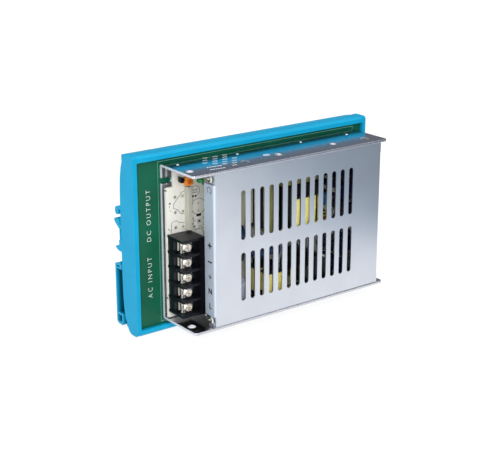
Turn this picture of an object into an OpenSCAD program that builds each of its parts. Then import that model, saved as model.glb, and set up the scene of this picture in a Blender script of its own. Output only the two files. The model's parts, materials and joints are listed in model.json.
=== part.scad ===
// Switch-mode power supply on a board carrier that snaps onto a 35 mm top-hat rail.
// Frame: the origin is the middle of the rail seat. X runs along the rail, -Y is the front,
// +Y points at the rail and the wall behind it, and Z is up. All sizes are in millimetres.

/* [Rail] */
// Height of the top-hat rail that the feet hold
rail_w = 35; // [34.6:0.1:35.2]
// Thickness of the rail's lips
lip_t = 1; // [0.9:0.05:1.1]
// Height of the rail's middle above the middle of the carrier
rail_rise = 3.5; // [3:0.1:4]

/* [Carrier] */
// Length of the carrier along the rail
carrier_l = 181; // [179:1:200]
// Height of the carrier
carrier_h = 113; // [113:1:118]
// Thickness of the end plates
plate_t = 2.7; // [2.4:0.1:3]
// Distance from the rail seat to the front of the mounting board
board_y = 14.6; // [14.6:0.1:16]
// Thickness of the mounting board
board_t = 1.6; // [1.4:0.1:1.6]
// Width of each foot along the rail
foot_w = 12; // [11:0.5:14]

/* [Rail latch] */
// Travel of the latch from locked to open
latch_travel = 4; // [3:0.5:4]
// Depth of the latch behind the rail seat
latch_d = 7.4; // [7:0.1:7.4]

/* [Supply case] */
// Length of the chassis
case_l = 150; // [149:1:152]
// Height of the chassis
case_h = 98; // [97.5:0.5:99]
// Depth of the chassis
case_d = 35.4; // [35:0.1:38]
// Thickness of the chassis sheet
sheet_t = 1.5; // [1.2:0.1:1.5]
// Distance from the left end of the carrier to the left end of the chassis
case_inset = 20; // [18:0.5:21]
// Diameter of the holes in the side walls
side_hole_d = 5; // [4:0.5:5.5]

/* [Cover] */
// Left edge of the cover, from the left end of the chassis
cover_x = 14.3; // [14:0.1:15]
// Length of the cover
cover_l = 131.2; // [130:0.2:132]
// Number of slots in each row
slot_n = 13; // [8:1:13]
// Distance between slots
slot_pitch = 7.05; // [6.5:0.05:7.2]
// Width of a slot
slot_w = 3.3; // [2:0.1:3.6]
// Length of a slot
slot_l = 30.7; // [24:0.1:31]

/* [Terminals] */
// Number of screw terminals
pole_n = 5; // [5:1:5]
// Distance between terminals
pole_pitch = 9.5; // [9.5:0.05:9.6]
// Opening of each wire clamp at rest
clamp_gap = 2.4; // [2.2:0.1:2.4]

/* [Hidden] */
$fn = 48;

eps = 0.01;
lip_edge = rail_w / 2;                      // height of a rail lip's outer edge
channel_edge = rail_w / 2 - 5;              // inner height of the rail's channel
half_l = carrier_l / 2;
half_h = carrier_h / 2;
front_y = -board_y - 2.4;                   // front face of the carrier
web_t = 2;
back_y = -1.2;                              // back edge of an end plate at mid height
back_bulge = 4.6;                           // how far that edge comes forward at its ends
case_x = -half_l + case_inset;
pcb_t = 1.6;
standoff_h = 2.5;
deck = -(sheet_t + standoff_h + pcb_t);     // front face of the circuit board
wall_z = case_h / 2 - sheet_t;              // inner face of a side wall
cover_t = 1;
cover_y = -case_d + 0.4;                    // outer face of the cover
cover_end = cover_x + cover_l;
cover_lip = 10;                             // depth of the cover's folded ends
relief_z = 41;                              // where a folded end stops
slot_z = 19.4;                              // height of the middle of a slot row
slot_x0 = 35.45;
side_hole_x = [4.5, 69.5, 113];
side_hole_y = -24.5;
cover_screw_x = [42.7, 138];
cover_screw_y = -26.6;
board_screw_at = [[20, 38], [20, -38], [130, 38], [130, -38]];
standoff_at = [[29, 42], [29, -42.5], [139, 40.5], [139, -42]];
pcb_end = cover_end - 1.6;                  // right edge of the circuit board
block_x = [0.8, 16.8];
block_z = -18.2;                            // middle pole of the terminal block
floor_y = -13;                              // front face of the terminal block's floor
pole_x = 6.2;
pin_x = 11.8;
partition_t = 1.6;
stud_r = 1.7;
m3_r = 1.45;
m3_head_r = 2.75;

carrier_blue = [0.10, 0.66, 0.84];
board_green = [0.05, 0.33, 0.23];
metal = [0.80, 0.82, 0.85];
nickel = [0.75, 0.74, 0.70];
black = [0.10, 0.10, 0.12];
cream = [0.86, 0.84, 0.76];
tape = [0.90, 0.85, 0.45];
copper = [0.72, 0.42, 0.26];
sleeve_blue = [0.10, 0.25, 0.50];

// ---- Helpers ----

// Box between two limits on each axis
module span(x, y, z) {
    translate([x[0], y[0], z[0]]) cube([x[1] - x[0], y[1] - y[0], z[1] - z[0]]);
}

// Extrudes a (y, z) outline from x0 to x1
module along_x(x0, x1) {
    translate([x0, 0, 0]) rotate([90, 0, 90]) linear_extrude(x1 - x0) children();
}

// Extrudes an (x, z) outline from y0 to y1
module along_y(y0, y1) {
    translate([0, y1, 0]) rotate([90, 0, 0]) linear_extrude(y1 - y0) children();
}

module rod_x(r, x0, x1) {
    translate([x0, 0, 0]) rotate([0, 90, 0]) cylinder(h = x1 - x0, r = r);
}

module rod_y(r, y0, y1) {
    translate([0, y0, 0]) rotate([-90, 0, 0]) cylinder(h = y1 - y0, r = r);
}

module rod_z(r, z0, z1) {
    translate([0, 0, z0]) cylinder(h = z1 - z0, r = r);
}

module mirrored_z() {
    children();
    mirror([0, 0, 1]) children();
}

// Moves from the carrier's middle to the rail's middle
module on_carrier() {
    translate([0, 0, -rail_rise]) children();
}

// Moves to the supply: x from its left end, y = 0 on the mounting board, z from its middle
module on_supply() {
    translate([case_x, -board_y, -rail_rise]) children();
}

// Moves to a place on the circuit board, where y = 0 is its face and -y is up from it
module on_deck(x, z) {
    translate([x, deck, z]) children();
}

// Points of an arc, for an outline
function arc(centre, r, a0, a1, n = 8) =
    [for (i = [0:n]) centre + r * [cos(a0 + (a1 - a0) * i / n), sin(a0 + (a1 - a0) * i / n)]];

// Upright round-cornered box on the circuit board
module case_box(size, r = 1) {
    x = size[0] / 2 - r;
    z = size[2] / 2 - r;
    along_y(-size[1], 0) union() {
        square([2 * x + 2 * r, 2 * z], center = true);
        square([2 * x, 2 * z + 2 * r], center = true);
        for (sx = [-1, 1], sz = [-1, 1]) translate([sx * x, sz * z]) circle(r);
    }
}

// Pan-head screw along y: the head's underside is at y = 0 and the shank runs to +y
module pan_screw(r, head_r, head_h, length) {
    difference() {
        union() {
            rod_y(r, -eps, length);
            rod_y(head_r, -head_h * 0.6, 0);
            translate([0, -head_h * 0.6 + eps, 0]) rotate([90, 0, 0])
                cylinder(h = head_h * 0.4, r1 = head_r, r2 = head_r * 0.72);
        }
        for (a = [0, 90]) rotate([0, a, 0])
            span([-head_r * 0.62, head_r * 0.62], [-head_h - 1, -head_h * 0.45], [-0.4, 0.4]);
    }
}

// ---- Carrier ----

module profile_half() {
    polygon([[front_y, half_h - 4.1], [front_y, half_h - 1.6], [front_y + 1.6, half_h - 0.2],
        [-9.1, half_h], [0, half_h - 1.9], [0, 0], [-web_t, 0], [-web_t, half_h - 3.9],
        [-9.5, half_h - 2.1], [-board_y + 3.6, half_h - 2.1], [-board_y + 3.6, half_h - 4.1],
        [-board_y + board_t + 0.1, half_h - 4.1], [-board_y + board_t + 0.1, half_h - 1.8],
        [-board_y - 0.1, half_h - 1.8], [-board_y - 0.1, half_h - 4.1]]);
    translate([-9, half_h - 5]) square([8, 2]);
    translate([-4.4, 20]) circle(2.7);
    translate([-3.5, 17.3]) square([2.5, 5.4]);
}

module carrier_profile() {
    color(carrier_blue) difference() {
        on_carrier() along_x(-half_l + plate_t, half_l - plate_t) difference() {
            union() {
                profile_half();
                mirror([0, 1]) profile_half();
            }
            for (s = [-1, 1]) translate([-4.4, s * 20]) circle(1.4);
        }
        for (s = [0, 1]) mirror([s, 0, 0])
            span([-half_l + 7.05, -half_l + 11.35], [-web_t - 1, 1], [-50.15, -33.85]);
    }
}

// Back edge of an end plate: nearly straight, coming forward towards both ends
function plate_back(z) = back_y - back_bulge * pow(abs(z) / (half_h - 1.9), 6);

module plate_outline() {
    edge_z = half_h - 2;
    polygon(concat(
        arc([front_y + 2, edge_z], 2, 180, 90),
        arc([plate_back(edge_z) - 2, edge_z], 2, 90, 0),
        [for (z = [48:-6:-48]) [plate_back(z), z]],
        arc([plate_back(edge_z) - 5, -half_h + 5], 5, 0, -90),
        arc([front_y + 3, -half_h + 3], 3, -90, -180)));
}

// Side view of a foot in the rail's frame: hook, spring finger, pad and barb
module foot_outline() {
    seat = lip_t + 0.25;
    polygon(concat([[-2.5, lip_edge + 0.1], [seat, lip_edge + 0.1], [seat, lip_edge - 3.2]],
        arc([3.1, lip_edge - 1.9], 1.8, 230, 345, 6),
        arc([2.6, lip_edge - 0.8], 2.4, 10, 80, 6),
        [[-2.5, lip_edge + 2.8]]));
    polygon(concat([[-2.5, 7.2], [-0.2, 7.7], [1.5, channel_edge - 1.3]],
        [[4.2, channel_edge - 1.2]],
        arc([4.8, channel_edge - 2.7], 1.5, 80, -40, 6),
        [[2.9, 6.6], [0.6, 5.2], [0.5, -3.2], [-2.5, -3.8]]));
    polygon([[-2.5, -2], [1.4, -2], [1.4, -5.2], [5.4, -6.6], [5.7, -7.2], [3.4, -8.6],
        [1.4, -9], [-2.5, -9]]);
}

module end_plate() {
    difference() {
        union() {
            along_x(-half_l, -half_l + plate_t) {
                translate([0, -rail_rise]) plate_outline();
                foot_outline();
            }
            along_x(-half_l + plate_t - eps, -half_l + foot_w) intersection() {
                foot_outline();
                translate([0, -20]) square([10, 60]);
            }
            along_x(-half_l + plate_t - eps, -half_l + foot_w) polygon([[0, channel_edge - 4],
                [1.6, channel_edge - 4], [1.6, -5], [0, -5]]);
            on_carrier() for (s = [-1, 1])
                translate([0, -4.4, s * 20]) rod_x(1.35, -half_l + plate_t - eps, -half_l + 9);
        }
        // slot beside the spring finger
        span([-half_l - 1, -half_l + 1.2], [-1.4, -0.2], [-1.5, 5.5]);
    }
}

module end_plate_left() {
    color(carrier_blue) end_plate();
}

module end_plate_right() {
    color(carrier_blue) mirror([1, 0, 0]) end_plate();
}

// ---- Rail latch: slides down to let go of the rail's lower lip ----

latch_gap = 0.15;
latch_top = -lip_edge + 1.3;
latch_end = -57.5;
latch_wall = 1.3;

module latch_outline() {
    polygon(concat([[latch_gap, -lip_edge - 0.3], [lip_t + 0.3, -lip_edge - 0.3],
        [lip_t + 0.3, latch_top], [2, latch_top], [latch_d, latch_top - 2.1]],
        arc([latch_d - 2.5, latch_end + 2.5], 2.5, 0, -90),
        [[latch_gap + 1, latch_end], [latch_gap, latch_end + 1]]));
}

module latch() {
    x0 = -half_l + 0.2;
    x1 = -half_l + foot_w;
    x_mid = -half_l + 7;
    x_deep = x1 - latch_wall;
    difference() {
        along_x(x0, x1) latch_outline();
        // open cells on the outer side
        span([x0 - 1, x_mid], [-1, latch_d - latch_wall], [-50, -21]);
        span([x0 - 1, x_deep], [1.6, latch_d - latch_wall], [-50, -21]);
        span([x0 - 1, x_mid], [1.4, latch_d - latch_wall], [-55.8, -51.2]);
        span([x0 - 1, x_mid - 2], [2.5, latch_d - latch_wall], [-20, -18.9]);
    }
    // ribs deep inside the big cell
    for (z = [-45.2:4.8:-26])
        span([x_mid - 1, x_deep + eps], [1.5, latch_d - 1], [z - 0.5, z + 0.5]);
    // neck, head and spring shelf behind the web
    span([x_mid + 0.2, x_mid + 4.2], [-web_t - 0.2, 1], [-46, -34]);
    span([x_mid - 1.8, x_mid + 4.9], [-4.4, -web_t - 0.15], [-47, -33]);
    span([x_mid - 1.8, x_mid + 4.9], [-8.8, -4.3], [-47, -45.6]);
}

module rail_latch_left() {
    color(carrier_blue) latch();
}

module rail_latch_right() {
    color(carrier_blue) mirror([1, 0, 0]) latch();
}

spring_r = 1.9;
wire_r = 0.3;
spring_turns = 6;
spring_sides = 8;
spring_steps = 12;
spring_top = -47 - wire_r - 0.02;
spring_foot = -half_h - rail_rise + 5 + wire_r + 0.02;

function spring_point(t) = [spring_r * cos(360 * t), spring_r * sin(360 * t),
    spring_foot + (spring_top - spring_foot) * t / spring_turns];

// Wire section around the helix point at turn t
function wire_ring(t) = [for (k = [0:spring_sides - 1])
    let (a = 360 * k / spring_sides)
    spring_point(t) + wire_r * [cos(a) * cos(360 * t), cos(a) * sin(360 * t), sin(a)]];

module latch_spring() {
    last = spring_turns * spring_steps;
    n = spring_sides;
    points = [for (i = [0:last]) each wire_ring(i / spring_steps)];
    sides = [for (i = [0:last - 1], k = [0:n - 1])
        [i * n + k, (i + 1) * n + k, (i + 1) * n + (k + 1) % n, i * n + (k + 1) % n]];
    ends = [[for (k = [0:n - 1]) k], [for (k = [n - 1:-1:0]) last * n + k]];
    translate([-half_l + 8.6, -6.6, 0]) polyhedron(points, concat(sides, ends));
}

module latch_spring_left() {
    color(metal) latch_spring();
}

module latch_spring_right() {
    color(metal) translate([carrier_l - 17.2, 0, 0]) latch_spring();
}

module mounting_board() {
    color(board_green) difference() {
        on_carrier() span([-half_l + plate_t + 0.2, half_l - plate_t - 0.2],
            [-board_y, -board_y + board_t], [-half_h + 2.2, half_h - 2.2]);
        on_supply() for (p = board_screw_at) translate([p[0], 0, p[1]]) rod_y(1.6, -1, 3);
    }
}

module board_screws() {
    color(nickel) on_supply() for (p = board_screw_at)
        translate([p[0], board_t, p[1]]) mirror([0, 1, 0]) pan_screw(m3_r, m3_head_r, 2.2, board_t + 2.1);
}

// ---- Chassis and cover ----

module chassis_section() {
    z = case_h / 2;
    polygon(concat([[-case_d, z]], arc([-1.6, z - 1.6], 1.6, 90, 0), arc([-1.6, -z + 1.6], 1.6, 0, -90),
        [[-case_d, -z], [-case_d, -wall_z]],
        arc([-sheet_t - 0.5, -wall_z + 0.5], 0.5, -90, 0, 4),
        arc([-sheet_t - 0.5, wall_z - 0.5], 0.5, 0, 90, 4),
        [[-case_d, wall_z]]));
}

// Rounds the front corner of a side wall at x = 0
module wall_corner() {
    translate([-eps, -case_d - eps, -case_h]) linear_extrude(2 * case_h) difference() {
        square(2);
        translate([2, 2]) circle(2);
    }
}

// Open-ended slot in the chassis floor
module floor_slot() {
    along_y(-sheet_t - 1, 1) union() {
        translate([-1, 37.1]) square([6.5, 3.5]);
        translate([5.5, 38.85]) circle(1.75);
    }
}

module corner_ears() {
    for (x = [cover_x + 1.7, cover_end - 2.9]) mirrored_z()
        span([x, x + 1.2], [-33.4, -26.4], [relief_z - 0.4, wall_z + eps]);
}

module chassis() {
    color(metal) on_supply() difference() {
        union() {
            along_x(0, case_l) chassis_section();
            corner_ears();
        }
        wall_corner();
        translate([case_l, 0, 0]) mirror([1, 0, 0]) wall_corner();
        floor_slot();
        translate([case_l, 0, 0]) rotate([0, 180, 0]) floor_slot();
        for (x = side_hole_x) translate([x, side_hole_y, 0]) rod_z(side_hole_d / 2, -case_h, case_h);
        for (x = cover_screw_x) translate([x, cover_screw_y, 0]) {
            rod_z(1.6, -case_h, case_h);
            mirrored_z() translate([0, 0, wall_z]) cylinder(h = sheet_t + eps, r1 = 1.6, r2 = 3.05);
        }
        for (p = [[7.5, -8], [50.3, -8.9], [100.2, -8.7], [137, -10.8]])
            translate([p[0], p[1], 0]) rod_z(0.9, 0, case_h);
        for (p = board_screw_at) translate([p[0], 0, p[1]]) rod_y(m3_r + 0.02, -3, 1);
        for (x = [cover_x + 1, cover_end - 4]) mirrored_z()
            translate([0, -30, 44]) rod_x(m3_r + 0.02, x, x + 3);
    }
}

module cover_face() {
    difference() {
        translate([cover_x + 0.6, -wall_z + 0.2]) square([cover_l - 1.2, 2 * wall_z - 0.4]);
        for (i = [0:slot_n - 1], s = [-1, 1]) translate([slot_x0 + i * slot_pitch, s * slot_z]) {
            square([slot_w, slot_l - slot_w], center = true);
            for (e = [-1, 1]) translate([0, e * (slot_l - slot_w) / 2]) circle(slot_w / 2);
        }
    }
}

// Folded end of the cover, as deep as lip
module cover_end_fold(lip) {
    r = 1.5;
    translate([0, 0, -relief_z]) linear_extrude(2 * relief_z)
        polygon(concat([[cover_x, cover_y + lip]], arc([cover_x + r, cover_y + r], r, 180, 270, 6),
            [[cover_x + 3, cover_y], [cover_x + 3, cover_y + cover_t]],
            arc([cover_x + cover_t + 0.5, cover_y + cover_t + 0.5], 0.5, 270, 180, 4),
            [[cover_x + cover_t, cover_y + lip]]));
}

module cover() {
    color(metal) on_supply() difference() {
        union() {
            difference() {
                along_y(cover_y, cover_y + cover_t) cover_face();
                for (s = [0, 1]) translate([s * (cover_x + cover_end), 0, 0]) mirror([s, 0, 0])
                    span([0, cover_x + 2], [-case_d, cover_y + 3], [-relief_z, relief_z]);
            }
            cover_end_fold(cover_lip);
            translate([cover_x + cover_end, 0, 0]) mirror([1, 0, 0]) cover_end_fold(cover_lip + 1);
            span([cover_end - cover_t, cover_end], [cover_y + cover_lip, -sheet_t - 0.2],
                [-wall_z + 0.2, wall_z - 0.2]);
            for (x = cover_screw_x) mirrored_z()
                span([x - 4, x + 4], [cover_y + cover_t - eps, -23], [wall_z - 1.4, wall_z - 0.2]);
        }
        for (x = cover_screw_x) translate([x, cover_screw_y, 0]) rod_z(m3_r + 0.02, -case_h, case_h);
    }
}

module cover_screws() {
    color(nickel) on_supply() for (x = cover_screw_x) mirrored_z()
        translate([x, cover_screw_y, wall_z]) difference() {
            union() {
                translate([0, 0, 0.05]) cylinder(h = sheet_t - 0.1, r1 = 1.55, r2 = 2.9);
                rod_z(m3_r, -4.4, 0.2);
            }
            for (a = [0, 90]) rotate([0, 0, a])
                span([-1.6, 1.6], [-0.35, 0.35], [sheet_t - 0.9, sheet_t + 1]);
        }
}

// Round-head screws in the chassis ears
module corner_screws() {
    color(nickel) on_supply() for (s = [0, 1]) translate([s * (cover_x + cover_end), 0, 0])
        mirror([s, 0, 0]) mirrored_z()
            translate([cover_x + 1.7, -30, 44]) rotate([0, 0, -90]) pan_screw(m3_r, m3_head_r, 2, 4);
}

// ---- Circuit board ----

module main_pcb() {
    color(cream) on_supply() difference() {
        span([0.3, pcb_end], [deck, deck + pcb_t], [-wall_z + 0.7, wall_z - 0.7]);
        span([-1, 5.6], [deck - 1, deck + pcb_t + 1], [35.2, wall_z]);
        for (p = standoff_at) translate([p[0], 0, p[1]]) rod_y(1.6, deck - 1, deck + pcb_t + 1);
        for (i = [1:pole_n]) translate([pin_x, 0, pole_z(i)]) rod_y(0.65, deck - 1, deck + pcb_t + 1);
        for (z = [-34.4, 33.6]) span([-1, 1.4], [deck - 1, deck + pcb_t + 1], [z - 0.6, z + 0.6]);
    }
}

module pcb_standoffs() {
    color(nickel) on_supply() for (p = standoff_at) translate([p[0], 0, p[1]]) difference() {
        translate([0, -sheet_t - standoff_h, 0]) rotate([-90, 0, 0]) cylinder(h = standoff_h, r = 3, $fn = 6);
        rod_y(m3_r + 0.02, -sheet_t - standoff_h - 1, 0);
    }
}

module pcb_screws() {
    color(nickel) on_supply() for (p = standoff_at)
        translate([p[0], deck, p[1]]) pan_screw(m3_r, m3_head_r, 2, pcb_t + standoff_h - 0.3);
}

module insulation_sheet() {
    color([0.9, 0.9, 0.85, 0.6]) on_supply() difference() {
        span([6, case_l - 9], [-sheet_t - 0.25, -sheet_t], [-wall_z + 1.5, wall_z - 1.5]);
        for (p = standoff_at) translate([p[0], 0, p[1]]) rod_y(3.4, -5, 1);
        for (p = board_screw_at) translate([p[0], 0, p[1]]) rod_y(1.8, -5, 1);
        span([0, 8], [-5, 0], [34.5, wall_z]);
    }
}

// ---- Terminal block: poles are numbered from the top ----

function pole_z(i) = block_z + ((pole_n + 1) / 2 - i) * pole_pitch;

module terminal_block() {
    top = block_z + pole_n * pole_pitch / 2 + partition_t / 2;
    bottom = 2 * block_z - top;
    color(black) on_supply() difference() {
        union() {
            span([block_x[0] + 0.2, block_x[1]], [floor_y, deck], [bottom, top]);
            span([block_x[1] - 3, block_x[1]], [-21.8, floor_y + eps], [bottom, top]);
            for (k = [0:pole_n]) {
                z = top - partition_t / 2 - k * pole_pitch;
                span([block_x[0] - 0.2, block_x[1] - 1], [-21.4, deck],
                    [z - partition_t / 2, z + partition_t / 2]);
            }
            span([block_x[1] - 4.2, block_x[1] - 2.5], [-16.6, floor_y + eps], [bottom, top]);
        }
        for (i = [1:pole_n]) translate([0, 0, pole_z(i)]) {
            translate([pole_x, 0, 0]) rod_y(2.05, floor_y - 1, deck - 0.5);
            translate([pin_x, 0, 0]) rod_y(0.65, floor_y - 1, deck + 1);
            // wire lead-in at the front edge of the floor
            translate([0, floor_y, 0]) rotate([0, 0, 45]) span([-1.2, 1.9], [-1.2, 1.2], [-2.6, 2.6]);
        }
    }
}

// Fixed contact plates with their solder pins
module terminal_plates() {
    color(nickel) on_supply() for (i = [1:pole_n]) translate([0, 0, pole_z(i)]) difference() {
        union() {
            span([2.8, 12.5], [floor_y - 0.8, floor_y], [-2.8, 2.8]);
            translate([pin_x, 0, 0]) rod_y(0.6, floor_y - 0.4, -sheet_t - 1.2);
        }
        translate([pole_x, 0, 0]) rod_y(stud_r + 0.08, floor_y - 2, floor_y + 1);
    }
}

clamp_y = floor_y - 0.8 - clamp_gap;        // underside of a clamp plate at rest
clamp_x = [3, 9.8];

module clamp_plate(i) {
    color(nickel) on_supply() translate([0, 0, pole_z(i)]) difference() {
        union() {
            span(clamp_x, [clamp_y - 0.8, clamp_y], [-3.7, 3.7]);
            mirrored_z() span(clamp_x, [clamp_y - eps, clamp_y + 0.65], [2.95, 3.7]);
            for (x = [3.3, 8.2]) span([x, x + 1], [clamp_y - eps, clamp_y + 0.3], [-2.5, 2.5]);
        }
        translate([pole_x, 0, 0]) rod_y(stud_r + 0.08, clamp_y - 2, clamp_y + 2);
    }
}

module clamp_plate_1() { clamp_plate(1); }
module clamp_plate_2() { clamp_plate(2); }
module clamp_plate_3() { clamp_plate(3); }
module clamp_plate_4() { clamp_plate(4); }
module clamp_plate_5() { clamp_plate(5); }

module terminal_screw(i) {
    color(nickel) on_supply() translate([pole_x, clamp_y - 0.85, pole_z(i)])
        pan_screw(stud_r, 3.3, 2.3, -clamp_y + 0.85 + deck - clamp_gap - 1);
}

module terminal_screw_1() { terminal_screw(1); }
module terminal_screw_2() { terminal_screw(2); }
module terminal_screw_3() { terminal_screw(3); }
module terminal_screw_4() { terminal_screw(4); }
module terminal_screw_5() { terminal_screw(5); }

// Barrier between the terminals' side and the parts under the cover
module divider_bar() {
    color([0.78, 0.76, 0.68]) on_supply() on_deck(14.9, 0) {
        span([-1.5, 1.5], [-1.2, 0], [7.4, 34.2]);
        span([-0.7, 1.5], [-3.6, -1.1], [7.4, 34.2]);
    }
}

// ---- Output voltage trimmer and indicator ----

trimmer_at = [15, 37.8];
trimmer_h = 3.6;
rotor_r = 1.6;

module trimmer_body() {
    color([0.85, 0.45, 0.10]) on_supply() on_deck(trimmer_at[0], trimmer_at[1]) difference() {
        union() {
            translate([0, -0.4, 0]) case_box([4.6, trimmer_h - 0.4, 4.8], 0.5);
            for (p = [[-1.5, 1.5], [1.5, 1.5], [0, -1.5]]) translate([p[0], 0, p[1]]) rod_y(0.3, -0.5, 2.2);
        }
        rod_y(rotor_r + 0.05, -trimmer_h - 1, -trimmer_h + 1.8);
    }
}

module trimmer_rotor() {
    color([0.90, 0.62, 0.30]) on_supply() on_deck(trimmer_at[0], trimmer_at[1]) difference() {
        rod_y(rotor_r, -trimmer_h - 0.5, -trimmer_h + 1.75);
        span([-1.2, 1.2], [-trimmer_h - 1, -trimmer_h + 0.2], [-0.3, 0.3]);
        span([-0.3, 0.3], [-trimmer_h - 1, -trimmer_h + 0.2], [0, 1.2]);
    }
}

module indicator_led() {
    color([0.2, 0.75, 0.35]) on_supply() on_deck(23.6, 36.8) {
        rod_y(1.5, -3.4, -1);
        translate([0, -3.4, 0]) sphere(1.5);
        rod_y(1.9, -1.6, -0.8);
        for (s = [-1, 1]) translate([s * 1.1, 0, 0]) rod_y(0.25, -1, 2.2);
    }
}

// Small half-round transistor on three wires
module reference_transistor() {
    color(black) on_supply() on_deck(8.9, 39.8) {
        intersection() {
            rod_y(1.8, -4.8, -2);
            span([-1, 2], [-5, -1], [-2, 2]);
        }
        for (k = [-1:1]) translate([0, 0, k * 1.27]) rod_y(0.22, -2.1, 2.2);
    }
}

// ---- Mains side ----

module fuse() {
    color([0.85, 0.88, 0.88]) on_supply() on_deck(25.5, -26) translate([0, -4.6, 0]) {
        rod_z(2.3, -8, 8);
        for (s = [-1, 1]) translate([0, 0, s * 8]) rod_z(2.6, -2.2, 2.2);
    }
}

module fuse_clips() {
    color(nickel) on_supply() on_deck(25.5, -26) for (s = [-1, 1]) translate([0, 0, s * 8]) difference() {
        union() {
            span([-3, 3], [-6.6, 0], [-1.9, 1.9]);
            rod_y(0.5, -1, 2.2);
        }
        translate([0, -4.6, 0]) rod_z(2.65, -3, 3);
        span([-1.9, 1.9], [-8, -4.6], [-3, 3]);
        span([-2.2, 2.2], [-1.9, -0.6], [-3, 3]);
    }
}

// Disc part standing on edge on the circuit board, on two wires
module disc_part(r, t, lift, pitch) {
    translate([0, -lift - r, 0]) {
        rod_x(r, -t / 2 + 0.5, t / 2 - 0.5);
        rod_x(r - 0.6, -t / 2, t / 2);
    }
    for (s = [-1, 1]) translate([0, 0, s * pitch / 2]) rod_y(0.35, -lift - r * 0.5, 2.2);
}

module surge_varistor() {
    color(sleeve_blue) on_supply() on_deck(46, 1.5) disc_part(6.6, 4.4, 1.5, 7.5);
}

module inrush_limiter() {
    color([0.12, 0.16, 0.14]) on_supply() on_deck(46, -13) disc_part(6, 4.6, 2, 7.5);
}

module filter_capacitor() {
    color([0.72, 0.73, 0.82]) on_supply() on_deck(43, -36.5) {
        case_box([10, 19, 17], 0.6);
        for (s = [-1, 1]) translate([0, 0, s * 7]) rod_y(0.4, -0.5, 2.2);
    }
}

module y_capacitors() {
    color(sleeve_blue) on_supply() for (p = [[53.5, -11], [60.5, -13.5], [67, -13], [73, -14]])
        on_deck(p[0], p[1]) disc_part(4.2, 3.6, 8, 5);
}

module film_capacitor() {
    color(cream) on_supply() on_deck(45, 21) {
        case_box([9, 20, 23], 0.6);
        for (s = [-1, 1]) translate([0, 0, s * 10]) rod_y(0.4, -0.5, 2.2);
    }
}

module x_capacitor() {
    color(tape) on_supply() on_deck(64.5, 17) {
        case_box([9, 20.5, 33], 0.6);
        for (s = [-1, 1]) translate([0, 0, s * 13]) rod_y(0.4, -0.5, 2.2);
    }
}

choke_at = [65, -33.2];

module line_choke_core() {
    color(black) on_supply() on_deck(choke_at[0], choke_at[1]) translate([0, -4, 0]) difference() {
        span([-3.5, 3.5], [-18, 0], [-13.5, 13.5]);
        span([-4, 4], [-13.5, -4.5], [-9.5, 9.5]);
    }
}

// Taped coils on both legs of the core, with the bobbin's feet
module line_choke_winding() {
    color(tape) on_supply() on_deck(choke_at[0], choke_at[1]) {
        for (y = [-6.25, -19.75]) translate([0, y, 0]) difference() {
            span([-6.6, 6.6], [-4, 4], [-9, 9]);
            span([-3.55, 3.55], [-2.3, 2.3], [-10, 10]);
        }
        for (sx = [-1, 1], sz = [-1, 1]) translate([sx * 5, 0, sz * 7]) rod_y(0.4, -3, 2.2);
        for (sx = [-1, 1]) span([sx * 5 - 1, sx * 5 + 1], [-17, -9], [-8.5, 8.5]);
    }
}

module bridge_rectifier() {
    color(black) on_supply() on_deck(56.4, 17) {
        translate([0, -2.5, 0]) case_box([3.6, 18.5, 24], 0.5);
        for (k = [-1.5:1:1.5]) translate([0, 0, k * 5.1]) rod_y(0.4, -3, 2.2);
    }
}

// Round capacitor standing on the circuit board
module can(r, h) {
    difference() {
        union() {
            rod_y(r, -h + 0.6, -0.9);
            rod_y(r - 0.6, -h, 0);
            for (s = [-1, 1]) translate([s * r * 0.45, 0, 0]) rod_y(0.4, -1, 2.2);
        }
        for (a = [0, 60, 120]) rotate([0, a, 0]) span([-r * 0.6, r * 0.6], [-h - 1, -h + 0.25], [-0.25, 0.25]);
    }
}

module bulk_capacitor() {
    color(black) on_supply() on_deck(97, -30) can(11, 26);
}

// ---- Transformer ----

trafo_at = [87, 11];
trafo_core = [30, 34];                      // outer size of the ferrite frame in x and z
trafo_y = [-23.6, -9.6];                    // front and back of the ferrite frame
trafo_leg = 5.2;
trafo_yoke = 6.5;

module transformer_core() {
    x = trafo_core[0] / 2;
    z = trafo_core[1] / 2;
    color(black) on_supply() on_deck(trafo_at[0], trafo_at[1]) difference() {
        span([-x, x], trafo_y, [-z, z]);
        for (s = [0, 1]) mirror([s, 0, 0])
            span([4.5, x - trafo_leg], [-40, 0], [-z + trafo_yoke, z - trafo_yoke]);
        span([-4.6, 4.6], [-40, trafo_y[0] + 1.5], [-z + trafo_yoke, z - trafo_yoke]);
    }
}

module transformer_bobbin() {
    z = trafo_core[1] / 2 - trafo_yoke;
    color(black) on_supply() on_deck(trafo_at[0], trafo_at[1]) difference() {
        union() {
            mirrored_z() span([-9, 9], [-25.4, -6], [z - 1, z]);
            span([-5.6, 5.6], [trafo_y[0] + 0.4, trafo_y[1] + 1.1], [-z, z]);
            mirrored_z() span([-12, 12], [-6.2, -2], [z - 1, z + 6]);
            for (s = [-1, 1], k = [-2:2]) translate([k * 5, 0, s * (z + 4)]) rod_y(0.4, -3, 2.2);
        }
        span([-4.65, 4.65], [trafo_y[0] + 1.45, trafo_y[1] + 0.05], [-z - 1, z + 1]);
    }
}

module transformer_winding() {
    z = trafo_core[1] / 2 - trafo_yoke - 1.05;
    color(tape) on_supply() on_deck(trafo_at[0], trafo_at[1]) difference() {
        union() {
            span([-9.3, 9.3], [-24, -7.4], [-z, z]);
            span([-7.8, 7.8], [-25.2, -6.2], [-z, z]);
        }
        span([-5.65, 5.65], [trafo_y[0] + 0.35, trafo_y[1] + 1.15], [-z - 1, z + 1]);
    }
}

module snubber_capacitor() {
    color(tape) on_supply() on_deck(84, 33) {
        case_box([27, 22, 8], 0.6);
        for (s = [-1, 1]) translate([s * 11, 0, 0]) rod_y(0.4, -0.5, 2.2);
    }
}

// ---- Output side ----

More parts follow.
